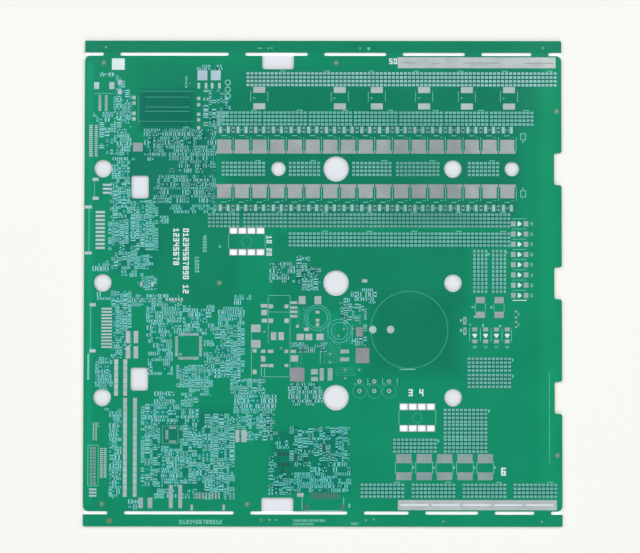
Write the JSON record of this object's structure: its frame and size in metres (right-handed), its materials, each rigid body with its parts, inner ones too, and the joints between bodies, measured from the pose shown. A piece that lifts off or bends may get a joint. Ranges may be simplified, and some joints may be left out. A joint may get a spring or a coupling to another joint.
{
  "type": "bare battery management circuit board",
  "caption": "Bare green circuit board of a battery management unit in its delivery panel, with breakaway rails, tinned bus strips and rows of power transistor lands.",
  "frame": {"origin": "centre of the panel's bounding box, on the plane it lies on (the faces of the underside lands)", "axes": "+X along the rails to the right, +Y up the board to the rail with the supply bus strip, +Z out of the component side"},
  "size_m": [0.3, 0.305, 0.0018],
  "materials": {
    "mask_green": "glass-epoxy laminate under glossy green solder mask",
    "tinned_copper": "copper levelled with tin, satin",
    "white_ink": "printed legend ink, matt"
  },
  "bodies": {
    "root": {"balance_lands_long": "tinned_copper", "balance_lands_short": "tinned_copper", "battery_terminal_barrels": "tinned_copper", "capacitor_barrels": "tinned_copper", "cell_connector_lands": "tinned_copper", "coil_barrels": "tinned_copper", "controller_lands": "tinned_copper", "converter_lands": "tinned_copper", "current_sense_lands": "tinned_copper", "diode_column_lands": "tinned_copper", "diode_row_lands": "tinned_copper", "display_connector_lands": "tinned_copper", "fiducial_discs": "tinned_copper", "fuse_lands": "tinned_copper", "header_barrels": "tinned_copper", "input_filter_lands": "tinned_copper", "isolator_lands": "tinned_copper", "laminate_panel": "mask_green", "legend_block": "white_ink", "load_terminal_barrels": "tinned_copper", "lower_lead_lands": "tinned_copper", "lower_tab_lands": "tinned_copper", "memory_lands": "tinned_copper", "output_bus_strip": "tinned_copper", "pack_connector_lands": "tinned_copper", "power_inductor_lands": "tinned_copper", "precharge_lands": "tinned_copper", "probe_connector_lands": "tinned_copper", "relay_barrels": "tinned_copper", "relay_driver_lands": "tinned_copper", "sensor_connector_lands": "tinned_copper", "service_connector_lands": "tinned_copper", "shield_clip_land": "tinned_copper", "shunt_lands": "tinned_copper", "signal_connector_lands": "tinned_copper", "snubber_lands": "tinned_copper", "supply_bus_strip": "tinned_copper", "supply_driver_lands": "tinned_copper", "underside_bus_strip": "tinned_copper", "underside_ground_lands": "tinned_copper", "underside_window_fields": "tinned_copper", "upper_lead_lands": "tinned_copper", "upper_tab_lands": "tinned_copper", "window_column_fields": "tinned_copper", "window_field_pair": "tinned_copper", "window_field_stack": "tinned_copper", "window_row_a": "tinned_copper", "window_row_b": "tinned_copper", "window_row_c": "tinned_copper", "window_row_d": "tinned_copper", "window_row_middle": "tinned_copper", "window_row_output": "tinned_copper"}
  },
  "joints": []
}
